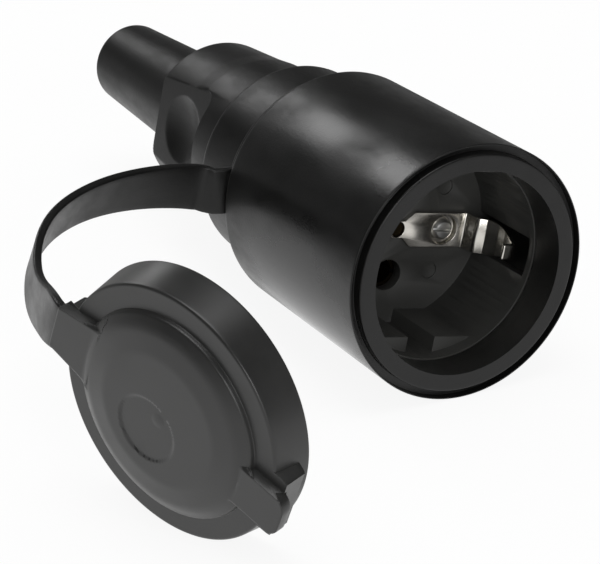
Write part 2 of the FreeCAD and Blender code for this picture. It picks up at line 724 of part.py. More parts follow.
# Clamp nut: a hexagon nut let into the underside of the cradle, one for each clamp screw.
def clamp_nut(name, sign):
    body = new_body(name)
    centre = f"{sign} * clamp_screw_distance"
    six = outline(body, "NutProfile", "XY_Plane", [hexagon(centre, clamp_middle, "nut_radius")], cradle_low)
    pad = extrude(body, "Pad", "Nut", six, "nut_thickness")
    pad.Reversed = False
    hole = discs(body, "HoleProfile", "XY_Plane", [(centre, clamp_middle, "shank_radius")], cradle_low)
    pocket = extrude(body, "Pocket", "Hole", hole, "nut_thickness")
    pocket.Reversed = True
    body.Placement = rolled


clamp_nut("clamp_nut_left", "-1")
clamp_nut("clamp_nut_right", "1")

# Lid: drawn about Z with its open rim at z = 0, its face up and its strap side at +X.
lid = new_body("lid")
cap = outline(lid, "CapProfile", "XZ_Plane", [[
    ("lid_rim_bore", "0"),
    ("lid_radius", "0"),
    ("lid_shoulder_radius", "lid_height - edge_bevel"),
    ("lid_shoulder_radius - edge_bevel", "lid_height"),
    ("dome_radius", "lid_height"),
    ("dome_radius - small_bevel", "lid_height + dome_step"),
    ("dome_radius * 0.7", "lid_height + dome_step + dome_rise * 0.9"),
    ("0", "lid_height + dome_step + dome_rise"),
    ("0", "lid_inner_depth"),
    ("lid_bore", "lid_inner_depth"),
    ("lid_bore", "lid_rim_depth"),
    ("lid_rim_bore", "lid_rim_depth"),
]])
cap_turned = lid.newObject("PartDesign::Revolution", "Cap")
cap_turned.Profile = cap
cap_turned.ReferenceAxis = (cap, ["V_Axis"])
cap_turned.Angle = 360.0
lid.Tip = cap_turned
lugs = outline(lid, "LugProfile", "XY_Plane", [
    rectangle("lid_bore + 1", "lid_radius + lug_reach", "-lug_width / 2", "lug_width / 2"),
    rectangle("-lid_radius - lug_reach", "-lid_bore - 1", "-lug_width / 2", "lug_width / 2"),
], "lid_rim_depth + pad_sink")
lug_pad = extrude(lid, "Pad", "Lugs", lugs, "lid_height - lid_rim_depth - pad_sink")
lug_pad.Reversed = False
root_reach = "(lid_radius + lug_reach + pad_sink)"
pad_start = "(dome_radius - pad_overlap)"
strap_root = outline(lid, "StrapRootProfile", "XY_Plane", [[
    (pad_start, "-root_width / 2"),
    (root_reach, "-strap_end_width / 2"),
    (root_reach, "strap_end_width / 2"),
    (pad_start, "root_width / 2"),
]], "lid_height - pad_sink")
root_pad = extrude(lid, "Pad", "StrapRoot", strap_root, "strap_thickness")
root_pad.Reversed = False
pull_tab = outline(lid, "PullTabProfile", "XY_Plane", [
    rectangle("-lid_radius - tab_reach", f"-{pad_start}", "-tab_width / 2", "tab_width / 2"),
], "lid_height - pad_sink")
tab_pad = extrude(lid, "Pad", "PullTab", pull_tab, "tab_thickness")
tab_pad.Reversed = False

# The shut lid faces -Y over the lip, and its open rim stops just before the step.
seat = FreeCAD.Vector(0, size("lip_length - seat_gap"), 0)
facing = FreeCAD.Rotation(FreeCAD.Vector(1, 0, 0), 90)
side = FreeCAD.Rotation(FreeCAD.Vector(0, 1, 0), 180 + size("strap_angle"))
shut = FreeCAD.Placement(seat, side.multiply(facing))

# The strap's bend lies behind the barrel's rear edge, to its left.
hinge = FreeCAD.Vector(
    -size("barrel_radius + hinge_left"), size("barrel_length - hinge_ahead"), size("strap_height")
)
lean_back = math.radians(size("hinge_lean_back"))
lean_side = math.radians(size("hinge_lean_side"))
hinge_axis = FreeCAD.Vector(-math.tan(lean_side), math.tan(lean_back), 1).normalize()
swing = FreeCAD.Placement(FreeCAD.Vector(0, 0, 0), FreeCAD.Rotation(hinge_axis, -size("lid_turn")), hinge)
lid.Placement = swing.multiply(shut)

# Lid strap: a flat ring round the neck, and a strap that twists and bends forward to the lid.
ring_front = size("barrel_length + fit_gap")


def strap_corners():
    """Corners of the strap's cross-section at even steps from the neck ring to the lid."""
    middle = ring_front + size("ring_thickness") / 2
    root_up = size("lid_height - pad_sink + strap_thickness / 2")
    root_end = size(f"{root_reach} + seat_gap")
    edge_left = size("barrel_radius")
    edge_back = size("barrel_length")
    points = [FreeCAD.Vector(-size("neck_radius") - size("strap_thickness"), middle, size("strap_height"))]
    route = [
        ("lead_left", "lead_back", "lead_up"),
        ("crest_left", "crest_back", "crest_up"),
        ("bow_left", "-bow_ahead", "bow_up"),
        ("drop_left", "-drop_ahead", "drop_up"),
        ("turn_left", "-turn_ahead", "turn_up"),
        ("rise_left", "-rise_ahead", "rise_up"),
    ]
    for left, back, up in route:
        points.append(FreeCAD.Vector(-edge_left - size(left), edge_back + size(back), size(up)))
    for reach in (root_end + size("root_lead"), root_end):
        points.append(lid.Placement.multVec(FreeCAD.Vector(reach, 0, root_up)))
    line = Part.BSplineCurve()
    line.interpolate(points)
    upright = FreeCAD.Vector(0, size("strap_lean"), 1).normalize()
    root_wide = lid.Placement.Rotation.multVec(FreeCAD.Vector(0, -1, 0))
    root_direction = lid.Placement.Rotation.multVec(FreeCAD.Vector(-1, 0, 0))
    sections = []
    count = 16
    for step in range(count + 1):
        share = step / count
        along = line.parameterAtDistance(line.length() * share, line.FirstParameter)
        direction = FreeCAD.Vector(*line.tangent(along)).normalize()
        if step == count:
            direction = root_direction
        twist = min(share / size("twist_end"), 1.0)
        wide = upright * (1 - twist) + root_wide * twist
        wide = (wide - direction * wide.dot(direction)).normalize()
        thick = wide.cross(direction) * (size("strap_thickness") / 2)
        width = size("lid_strap_width") * (1 - share) + size("strap_end_width") * share
        wide = wide * (width / 2)
        centre = line.value(along)
        sections.append([
            centre + wide + thick, centre + wide - thick, centre - wide - thick, centre - wide + thick,
        ])
    return sections


def strap_band():
    """The bent band itself: four long faces between its corner lines, closed by both ends."""
    sections = strap_corners()
    lines = []
    for corner in range(4):
        line = Part.BSplineCurve()
        line.interpolate([section[corner] for section in sections])
        lines.append(line.toShape())
    faces = [Part.makeRuledSurface(lines[corner], lines[(corner + 1) % 4]) for corner in range(4)]
    for end in (sections[0], sections[-1]):
        faces.append(Part.Face(Part.makePolygon(end + end[:1])))
    shell = Part.makeShell(faces)
    shell.sewShape()
    band = Part.Solid(shell)
    if band.Volume < 0:
        band.reverse()
    return band


def lid_strap_shape():
    back = FreeCAD.Vector(0, 1, 0)
    thick = size("ring_thickness")
    start = FreeCAD.Vector(0, ring_front, 0)
    ring = Part.makeCylinder(size("neck_ring_radius"), thick, start, back)
    # keep clear of the neck, of the barrel in front and of the band behind
    room = size("neck_radius + fit_gap")
    bore = Part.makeCylinder(room, thick * 3, start - back * thick, back)
    barrel = Part.makeCylinder(size("barrel_radius"), thick, start - back * thick, back)
    band = Part.makeCylinder(size("band_radius + 2 * fit_gap"), thick, start + back * thick, back)
    return ring.fuse(strap_band()).cut(bore).cut(barrel).cut(band).removeSplitter()


lid_strap = doc.addObject("Part::Feature", "lid_strap")
lid_strap.Label = "lid_strap"
lid_strap.Shape = lid_strap_shape()
lid_strap.Placement = FreeCAD.Placement()

doc.recompute()
pieces = [item for item in doc.Objects if item.isDerivedFrom("PartDesign::Body") or item.TypeId == "Part::Feature"]
for item in doc.Objects:
    failed = {"Invalid", "Error"} & set(item.State)
    if failed:
        raise RuntimeError(f"{item.Name} failed: {item.State}")
for item in pieces:
    if item.Shape.isNull() or not item.Shape.isValid() or not item.Shape.Solids:
        raise RuntimeError(f"{item.Label} has no valid solid")
os.makedirs("parts", exist_ok=True)
for item in pieces:
    item.Shape.exportStep(f"parts/{item.Label}.step")
    box = item.Shape.BoundBox
    print(f"{item.Label}: {item.Shape.Volume:.1f} mm3, solids {len(item.Shape.Solids)}, "
          f"x {box.XMin:.1f}..{box.XMax:.1f}, y {box.YMin:.1f}..{box.YMax:.1f}, z {box.ZMin:.1f}..{box.ZMax:.1f}")
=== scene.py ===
import math

import bmesh
import bpy
import numpy as np
from mathutils import Matrix, Vector


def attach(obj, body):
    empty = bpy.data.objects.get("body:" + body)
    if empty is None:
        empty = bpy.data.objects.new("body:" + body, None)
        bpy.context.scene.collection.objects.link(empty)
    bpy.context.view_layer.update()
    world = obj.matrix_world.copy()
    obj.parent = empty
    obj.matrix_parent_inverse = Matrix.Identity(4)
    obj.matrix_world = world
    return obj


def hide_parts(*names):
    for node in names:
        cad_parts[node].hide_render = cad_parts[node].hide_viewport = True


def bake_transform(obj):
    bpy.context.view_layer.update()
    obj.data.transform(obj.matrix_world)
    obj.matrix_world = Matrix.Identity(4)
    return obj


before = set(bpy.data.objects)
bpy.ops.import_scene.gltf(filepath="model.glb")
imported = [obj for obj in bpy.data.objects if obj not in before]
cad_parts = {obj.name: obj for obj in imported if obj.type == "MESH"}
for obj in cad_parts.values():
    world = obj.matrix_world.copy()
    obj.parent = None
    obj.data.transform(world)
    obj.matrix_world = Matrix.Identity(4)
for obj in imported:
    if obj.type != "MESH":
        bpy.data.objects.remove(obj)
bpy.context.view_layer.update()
print("Frame loaded:", len(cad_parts), "nodes")

# Lengths are written in millimetres and turned to metres where a mesh is made.
mm = 0.001

# The connector lies on its barrel, rolled a little about its axis.
rollTurn = Matrix.Rotation(math.radians(11.0), 4, "Y")

# The lid's own place: drawn about Z with its face up, shut over the lip, then swung open.
# Angles are in degrees.
lidPlace = {
    "seat": 1.9,
    "strapAngle": 29.56,
    "hinge": (-50.67, 37.46, 3.2),
    "leanBack": 7.45,
    "leanSide": 3.18,
    "turn": 71.62,
}


def lidMatrix(place):
    side, back = math.radians(place["leanSide"]), math.radians(place["leanBack"])
    axis = Vector((-math.tan(side), math.tan(back), 1))
    hinge = Vector(place["hinge"])
    swing = Matrix.Rotation(math.radians(-place["turn"]), 4, axis.normalized())
    shut = Matrix.Translation((0, place["seat"], 0))
    shut = shut @ Matrix.Rotation(math.radians(180 + place["strapAngle"]), 4, "Y")
    shut = shut @ Matrix.Rotation(math.radians(90), 4, "X")
    return Matrix.Translation(hinge) @ swing @ Matrix.Translation(-hinge) @ shut


lidTurn = lidMatrix(lidPlace)


# Colours

def hexColour(text):
    parts = [int(text[i:i + 2], 16) / 255 for i in (1, 3, 5)]
    return [p / 12.92 if p <= 0.04045 else ((p + 0.055) / 1.055) ** 2.4 for p in parts] + [1.0]


# Adds a node, sets its sockets and properties, and links what is given as (node, output) to
# the socket of that name or, for i0, i1 and so on, of that number.
def addNode(tree, kind, settings=None, **links):
    node = tree.nodes.new(kind)
    for key, value in (settings or {}).items():
        if key in node.inputs:
            node.inputs[key].default_value = value
        else:
            setattr(node, key, value)
    for key, source in links.items():
        socket = node.inputs[int(key[1:])] if key[0] == "i" and key[1:].isdigit() else node.inputs[key]
        tree.links.new(source[0].outputs[source[1]], socket)
    return node


def newMaterial(name, settings):
    material = bpy.data.materials.new(name)
    material.use_nodes = True
    tree = material.node_tree
    tree.nodes.clear()
    shader = addNode(tree, "ShaderNodeBsdfPrincipled", settings)
    output = addNode(tree, "ShaderNodeOutputMaterial")
    tree.links.new(shader.outputs["BSDF"], output.inputs["Surface"])
    return material, tree, shader


# Materials

# Natural rubber, pressed in a blasted steel mould. The blasting leaves a fine grain that
# breaks up the highlights, and handling polishes it a little and leaves a dusty bloom.
rubber = {
    "housing": {
        "dark": "#080808", "bloom": "#131312", "roughness": (0.34, 0.48), "sheen": 0.03, "ior": 1.42,
        # the grain, its depth and the patches of bloom, in millimetres; the real grain is about
        # 0.1 mm and is drawn coarser, on the lid too, so that it shows
        "grain": 0.4, "grainDepth": 0.034, "patches": 6.0,
        # places polished by the hand or on the bench: x, y, z and reach in millimetres,
        # then roughness
        "handled": [(-14, 3, 20, 11, 0.25), (-12, 31, 22, 13, 0.28), (-22, 22, -15, 27, 0.1)],
    },
    # the lid is wiped more evenly, and both its colours are painted lighter than the housing's, which
    # stands in for the light that its face catches from the floor
    "lid": {
        "dark": "#171717", "bloom": "#292928", "roughness": (0.3, 0.42), "sheen": 0.16, "ior": 1.52,
        "grain": 0.35, "grainDepth": 0.012, "patches": 14.0,
        "handled": [],
    },
}


def makeRubber(name, look):
    material, tree, shader = newMaterial(name, {
        "IOR": look["ior"], "Sheen Weight": look["sheen"],
        "Sheen Roughness": 0.35, "Sheen Tint": hexColour("#E4E4E0"),
    })
    spot = (addNode(tree, "ShaderNodeTexCoord"), "Object")
    # noise scale is cells per metre, so 1000 over the size in millimetres
    grain = addNode(tree, "ShaderNodeTexNoise", {
        "Scale": 1000 / look["grain"], "Detail": 2.0,
    }, Vector=spot)
    # the patches run about twice as long along the barrel as round it
    along = addNode(tree, "ShaderNodeMapping", {"Scale": (1, 0.45, 1)}, Vector=spot)
    patch = addNode(tree, "ShaderNodeTexNoise", {
        "Scale": 1000 / look["patches"], "Detail": 6.0, "Roughness": 0.65,
    }, Vector=(along, "Vector"))
    tone = addNode(tree, "ShaderNodeMix", {"data_type": "RGBA"})
    tree.links.new(patch.outputs["Fac"], tone.inputs["Factor"])
    tone.inputs[6].default_value = hexColour(look["dark"])
    tone.inputs[7].default_value = hexColour(look["bloom"])
    tree.links.new(tone.outputs[2], shader.inputs["Base Color"])
    low, high = look["roughness"]
    rough = addNode(tree, "ShaderNodeMapRange", {
        "From Min": 0.35, "From Max": 0.65, "To Min": low, "To Max": high,
    }, Value=(patch, "Fac"))
    worn = (rough, "Result")
    # a polished place fades between two shares of its reach, and the noise frays that edge
    fadeFrom, fadeTo, fray = 0.3, 1.45, 0.35
    for x, y, z, reach, polished in look["handled"]:
        away = addNode(tree, "ShaderNodeVectorMath", {"operation": "DISTANCE"}, i0=spot)
        away.inputs[1].default_value = (x * mm, y * mm, z * mm)
        frayed = addNode(tree, "ShaderNodeMath", {"operation": "MULTIPLY_ADD"},
                         i0=(patch, "Fac"), i2=(away, "Value"))
        frayed.inputs[1].default_value = reach * fray * mm
        share = addNode(tree, "ShaderNodeMapRange", {
            "interpolation_type": "SMOOTHSTEP",
            "From Min": reach * fadeFrom * mm, "From Max": reach * fadeTo * mm,
        }, Value=(frayed, "Value"))
        mixed = addNode(tree, "ShaderNodeMix", {"data_type": "FLOAT"}, i0=(share, "Result"), i3=worn)
        mixed.inputs[2].default_value = polished
        worn = (mixed, 0)
    tree.links.new(worn[0].outputs[worn[1]], shader.inputs["Roughness"])
    depth = look["grainDepth"] * mm
    bump = addNode(tree, "ShaderNodeBump", {"Strength": 0.6, "Distance": depth}, Height=(grain, "Fac"))
    tree.links.new(bump.outputs["Normal"], shader.inputs["Normal"])
    return material


# Moulded, machined and plated pieces share one recipe: a tone that drifts over the piece,
# a fine texture that says how it was made, and roughness that follows it. Both sizes are in
# millimetres. The real marks are a tenth of a millimetre or less, and the fine texture is
# drawn a few times coarser, so that it shows.
def makeFinish(name, look):
    material, tree, shader = newMaterial(name, {
        "Metallic": look["metallic"], "IOR": look.get("ior", 1.5),
    })
    spot = (addNode(tree, "ShaderNodeTexCoord"), "Object")
    stretch = {"Scale": look.get("stretch", (1, 1, 1))}
    drawn = (addNode(tree, "ShaderNodeMapping", stretch, Vector=spot), "Vector")
    fine = addNode(tree, "ShaderNodeTexNoise", {
        "Scale": 1000 / look["fine"], "Detail": 3.0,
    }, Vector=drawn)
    broad = addNode(tree, "ShaderNodeTexNoise", {
        "Scale": 1000 / look["broad"], "Detail": 3.0,
    }, Vector=spot)
    tone = addNode(tree, "ShaderNodeMix", {"data_type": "RGBA"})
    tree.links.new(broad.outputs["Fac"], tone.inputs["Factor"])
    tone.inputs[6].default_value = hexColour(look["dark"])
    tone.inputs[7].default_value = hexColour(look["light"])
    tree.links.new(tone.outputs[2], shader.inputs["Base Color"])
    low, high = look["roughness"]
    rough = addNode(tree, "ShaderNodeMapRange", {"To Min": low, "To Max": high}, Value=(fine, "Fac"))
    tree.links.new(rough.outputs["Result"], shader.inputs["Roughness"])
    depth = look["depth"] * mm
    bump = addNode(tree, "ShaderNodeBump", {"Strength": 0.5, "Distance": depth}, Height=(fine, "Fac"))
    tree.links.new(bump.outputs["Normal"], shader.inputs["Normal"])
    return material


mouldedRubber = makeRubber("mouldedRubber", rubber["housing"])
# the lid's rubber is a copy of the housing's with its colours painted lighter, for the light on its
# face
lidRubberPaintedLighter = makeRubber("lidRubberPaintedLighter", rubber["lid"])

# Phenolic plastic, compression moulded in a polished mould: near black and smooth, with a
# soft gleam. The fine texture is the flow of the powder that it was pressed from.
phenolic = makeFinish("mouldedPhenolic", {
    "metallic": 0.0, "ior": 1.38, "dark": "#2F2F2E", "light": "#3C3C3A", "fine": 0.4, "broad": 8.0,
    "depth": 0.004, "roughness": (0.26, 0.4),
})

# The carrier is the same plastic with less polish in its mould.
dullPhenolic = makeFinish("dullPhenolic", {
    "metallic": 0.0, "ior": 1.55, "dark": "#1B1A19", "light": "#2A2826", "fine": 0.5, "broad": 6.0,
    "depth": 0.01, "roughness": (0.45, 0.6),
})

# Nickel plate on stamped spring sheet: bright, a little warm, drawn faintly along the strip.
nickelPlate = makeFinish("nickelPlatedSheet", {
    "metallic": 1.0, "dark": "#B4B0A8", "light": "#E6E3DC", "fine": 0.5, "broad": 5.0,
    "stretch": (0.15, 1, 1), "depth": 0.0025, "roughness": (0.16, 0.3),
})

# Zinc plate on turned steel screws: a cooler grey than the strip, slightly mottled by
# passivation.
zincPlate = makeFinish("zincPlatedSteel", {
    "metallic": 1.0, "dark": "#A6A6A4", "light": "#DCDCDA", "fine": 0.3, "broad": 1.6,
    "depth": 0.008, "roughness": (0.25, 0.42),
})

# Drawn and machined brass: yellow with faint tool marks across the block.
machinedBrass = makeFinish("machinedBrass", {
    "metallic": 1.0, "dark": "#A8853F", "light": "#D2B468", "fine": 0.3, "broad": 4.0,
    "stretch": (1, 0.15, 1), "depth": 0.006, "roughness": (0.22, 0.36),
})

# The brass deep in the holes is drawn a near black brown, as painted shade for the dark there, and
# throws back little light.
brassPaintedShade = makeFinish("brassPaintedShade", {
    "metallic": 1.0, "dark": "#17130D", "light": "#2A2317", "fine": 0.3, "broad": 3.0,
    "depth": 0.008, "roughness": (0.42, 0.6),
})

# Blued spring steel rings: dark grey with a hint of blue from the tempering.
springSteel = makeFinish("temperedSpringSteel", {
    "metallic": 1.0, "dark": "#4A4D52", "light": "#6F7379", "fine": 0.3, "broad": 2.5,
    "depth": 0.004, "roughness": (0.28, 0.4),
})
print("Materials made")


# Meshes

# Edges that turn by more than this stay sharp in the shading, in degrees.
sharpAngle = 34.0


def meshObject(name, points, faces, turn, material):
    mesh = bpy.data.meshes.new(name)
    mesh.from_pydata([tuple(p) for p in points], [], faces)
    mesh.transform(Matrix.Scale(mm, 4) @ turn)
    mesh.validate()
    mesh.update()
    mesh.shade_smooth()
    mesh.set_sharp_from_angle(angle=math.radians(sharpAngle))
    mesh.materials.append(material)
    piece = bpy.data.objects.new(name, mesh)
    bpy.context.scene.collection.objects.link(piece)
    return piece


# Faces of a grid of rows by columns. Columns always close on themselves, rows if asked.
def gridFaces(rows, columns, closeRows=False):
    faces = []
    for r in range(rows if closeRows else rows - 1):
        a, b = r * columns, ((r + 1) % rows) * columns
        for c in range(columns):
            d = (c + 1) % columns
            faces.append((a + c, a + d, b + d, b + c))
    return faces


nearlyStraight = 1.55  # half the angle of a corner, in radians
sideShare = 0.48  # what one rounding may take of a side


# Points of a profile given as corners (across, along, rounding), each rounded by an arc, and
# never further apart than the spacing.
def roundedProfile(corners, spacing=1.2, arcSteps=5, closed=False):
    path = []
    count = len(corners)
    for i, (x, y, radius) in enumerate(corners):
        here = Vector((x, y))
        if radius <= 0 or (not closed and i in (0, count - 1)):
            path.append(here)
            continue
        before = Vector(corners[i - 1][:2]) - here
        after = Vector(corners[(i + 1) % count][:2]) - here
        half = before.angle(after) / 2
        if half > nearlyStraight:
            path.append(here)
            continue
        shorter = min(before.length, after.length)
        reach = min(radius / math.tan(half), shorter * sideShare)
        r = reach * math.tan(half)
        centre = here + (before.normalized() + after.normalized()).normalized() * (r / math.sin(half))
        start = here + before.normalized() * reach - centre
        end = here + after.normalized() * reach - centre
        sweep = start.angle_signed(end)
        for k in range(arcSteps + 1):
            path.append(centre + Matrix.Rotation(-sweep * k / arcSteps, 2) @ start)
    fine = []
    last = len(path) if closed else len(path) - 1
    for i in range(last):
        a, b = path[i], path[(i + 1) % len(path)]
        steps = max(1, math.ceil((b - a).length / spacing))
        fine += [a.lerp(b, k / steps) for k in range(steps)]
    if not closed:
        fine.append(path[-1])
    return np.array([tuple(p) for p in fine])


# Rubber housing

housing = {
    # radii, and lengths from the front of the mouth
    "mouth": 19.95, "lip": (23.2, 2.2), "barrel": (25.0, 24.4, 50.5), "neck": 18.4, "grooveEnd": 52.9,
    # the groove round the lip takes the lid's rim, and a thin wall stands outside it
    "rimGroove": (24.72, 0.5),
    "band": (20.6, 67.9), "grip": (18.3, 16.3, 100.1), "tube": (10.8, 8.8, 141.3), "cable": 5.5,
    "flat": 14.0, "flatStart": 77.5, "flatCorner": 4.0, "cornerFade": 9.0, "dish": (7.0, 1.7, 89.0),
    # how much the grip has tapered where the flats start
    "gripFall": 0.6,
    "collar": 7.9, "seat": (21.7, 47.0), "neckBore": 14.6, "gripBore": 11.2,
    # lengths of the bore's slopes: into the tube, before it, and out of the neck
    "slopes": (2.0, 4.0, 8.0),
    "columns": 360, "flatShare": 0.46,
}


def makeHousing(h):
    mouth, collar, neck = h["mouth"], h["collar"], h["neck"]
    lipRadius, lipEnd = h["lip"]
    groove, grooveStart = h["rimGroove"]
    barrelFront, barrelBack, barrelEnd = h["barrel"]
    band, bandEnd = h["band"]
    gripFront, gripBack, gripEnd = h["grip"]
    tubeFront, tubeBack, tubeEnd = h["tube"]
    seat, seatEnd = h["seat"]
    flatFront = gripFront - h["gripFall"]
    outer = roundedProfile([
        (mouth, 0, 0), (mouth + 0.5, 0, 0.4), (lipRadius, 0, 0.35), (lipRadius, lipEnd, 0.15),
        (groove, lipEnd, 0.1), (groove, grooveStart, 0.1), (barrelFront, grooveStart, 0.16),
        (barrelBack, barrelEnd, 1.0), (neck, barrelEnd, 0.2), (neck, h["grooveEnd"], 0.2),
        (band, h["grooveEnd"], 0.5), (band, bandEnd, 1.98), (gripFront, bandEnd, 0.88),
        # two rows close together, so that the flats start with a clean edge
        (flatFront, h["flatStart"] - 0.15, 0), (flatFront - 0.02, h["flatStart"] + 0.15, 0),
        (gripBack, gripEnd, 1.0), (tubeFront, gripEnd, 0.3), (tubeBack, tubeEnd, 1.0),
        (h["cable"], tubeEnd, 0),
    ], spacing=0.55)
    intoTube, beforeTube, outOfNeck = h["slopes"]
    inner = roundedProfile([
        (h["cable"], tubeEnd, 0), (h["cable"], gripEnd + intoTube, 0),
        (h["gripBore"], gripEnd - beforeTube, 0), (h["gripBore"], bandEnd + outOfNeck, 0),
        (h["neckBore"], bandEnd, 0), (h["neckBore"], seatEnd, 0), (seat, seatEnd, 0),
        (seat, collar, 0), (mouth, collar, 0.2), (mouth, 0.4, 0.3), (mouth, 0, 0),
    ], spacing=3.0)[1:-1]
    profile = np.vstack([outer, inner])
    rows, columns = len(profile), h["columns"]
    radius, along = profile[:, 0][:, None], profile[:, 1][:, None]
    onOutside = (np.arange(rows) < len(outer))[:, None]
    # columns bunch up at the edges of the two flats and follow them as the grip tapers
    gripY = np.clip((along - bandEnd) / (gripEnd - bandEnd), 0, 1)
    gripRadius = gripFront + (gripBack - gripFront) * gripY
    edgeTurn = np.arccos(h["flat"] / gripRadius)
    quarter = columns // 4
    inFlat = round(quarter * h["flatShare"])
    u = np.arange(quarter)
    first = u[None, :] / inFlat * edgeTurn
    second = edgeTurn + (u[None, :] - inFlat) / (quarter - inFlat) * (math.pi / 2 - edgeTurn)
    part = np.where(u[None, :] <= inFlat, first, second)
    mirrored = np.hstack([np.full((rows, 1), math.pi / 2), part[:, :0:-1]])
    turned = np.hstack([part, math.pi - mirrored, math.pi + part, 2 * math.pi - mirrored])
    cosine = np.abs(np.cos(turned))
    across = h["flat"] / np.maximum(cosine, 1e-6) * np.sin(turned)
    # the flat's front corners are rounded, so its front edge runs back towards them
    halfChord = math.sqrt(flatFront ** 2 - h["flat"] ** 2)
    corner = h["flatCorner"]
    over = np.clip(np.abs(across) - (halfChord - corner), 0, corner)
    shift = corner - np.sqrt(corner ** 2 - over ** 2)
    near = np.clip(1 - np.abs(along - h["flatStart"]) / h["cornerFade"], 0, 1)
    y = along + shift * near * onOutside
    onFlat = onOutside & (along > h["flatStart"] + 0.1) & (along < gripEnd + 0.01)
    flatRadius = h["flat"] / np.maximum(cosine, 1e-6)
    full = np.broadcast_to(radius, turned.shape)
    r = np.where(onFlat & (flatRadius < full), flatRadius, full)
    # the shallow round dish for the thumb, pressed into each flat
    dishRadius, dishDepth, dishY = h["dish"]
    ball = (dishRadius ** 2 + dishDepth ** 2) / (2 * dishDepth)
    away = np.sqrt(across ** 2 + (y - dishY) ** 2)
    sink = np.sqrt(np.maximum(ball ** 2 - away ** 2, 0)) - (ball - dishDepth)
    sink = np.where(onFlat & (flatRadius <= full) & (away < dishRadius), np.maximum(sink, 0), 0)
    x = r * np.cos(turned)
    x = x - np.sign(x) * sink
    z = r * np.sin(turned)
    points = np.stack([x, y, z], axis=2).reshape(-1, 3)
    faces = gridFaces(rows, turned.shape[1], True)
    return meshObject("rubberHousing", points, faces, rollTurn, mouldedRubber)


housingPiece = makeHousing(housing)
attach(housingPiece, "connector")
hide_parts("rubber_housing")
print("Housing made:", len(housingPiece.data.polygons), "faces")


# Lid

lid = {
    "rim": 24.65, "shoulder": 23.62, "height": 7.6, "dome": 19.2, "domeTop": 10.35,
    # the dome's profile: across, fall below its top, rounding
    "domeRings": ((12.5, 0.05, 9.0), (17.0, 0.75, 6.0), (19.1, 1.9, 0.7)),
    "rimBore": 24.15, "rimDepth": 2.3, "bore": 21.3, "innerDepth": 5.6,
    "rimEdge": 0.3, "lugHalf": 6.5, "rootLugHalf": 3.6, "lugReach": 25.5, "lugLow": 2.7,
    # the strap root is drawn rootHalf wide and then spread to these half widths, at the dome and
    # at its end, from spreadStart inside the dome's edge and no wider than spreadEnd
    "rootHalf": 4.9, "rootUpper": (5.9, 4.0), "rootLower": (6.6, 5.5),
    "spreadStart": 1.5, "spreadEnd": 12.0,
    "rootReach": 25.95, "rootTop": 9.2, "rootLow": 7.2,
    "tabHalf": 4.3, "tabReach": 27.5, "tabTop": 9.35, "tabLow": 7.2, "tabRound": 2.6,
    # the pads of root and tab start at this radius and have their length padInside short of the
    # shoulder, and their sides fall off within padBlend from padFoot outside the edge
    "padStart": 17.6, "padInside": 1.2, "padFoot": 0.1, "padBlend": 0.14, "edge": 0.35,
    "padColumns": 7, "evenColumns": 96,
    # the round place on the face, a little below the dome's own surface
    "plaque": (1.6, 3.4, 6.3), "plaqueDepth": 0.28, "plaqueEdge": 0.35,
}


def smoothStep(value, low, high):
    t = np.clip((value - low) / (high - low), 0, 1)
    return t * t * (3 - 2 * t)


# Angles of the lid's columns at a radius: lines that lie along the edges of the strap root,
# the tab and the lugs run parallel to X there, and the rest spread evenly between them. Some
# stand close to each edge, so that it can be rounded.
def lidColumns(l, reach):
    marks = {"root": (l["rootHalf"], l["lugHalf"]), "tab": (l["tabHalf"], l["lugHalf"])}
    e = l["edge"]
    side = {}
    for end, (inner, outer) in marks.items():
        ys = list(np.linspace(0, inner - 3 * e, l["padColumns"])) + [
            inner - 1.5 * e, inner - e, inner - 0.5 * e, inner, inner + 0.12, inner + 0.45,
            (inner + outer) / 2,
            outer - e, outer - 0.5 * e, outer, outer + 0.12, outer + 0.45, outer + 1.2,
        ]
        side[end] = np.array(sorted(set(round(v, 4) for v in ys)))
    reach = np.maximum(reach, l["dome"])[:, None]
    rootTurn = np.arcsin(side["root"][None, :] / reach)
    tabTurn = math.pi - np.arcsin(side["tab"][None, ::-1] / reach)
    between = np.linspace(0, 1, l["evenColumns"])[None, 1:-1]
    middle = rootTurn[:, -1:] + between * (tabTurn[:, :1] - rootTurn[:, -1:])
    upper = np.hstack([rootTurn, middle, tabTurn])
    return np.hstack([upper, (2 * math.pi - upper[:, -2:0:-1])])


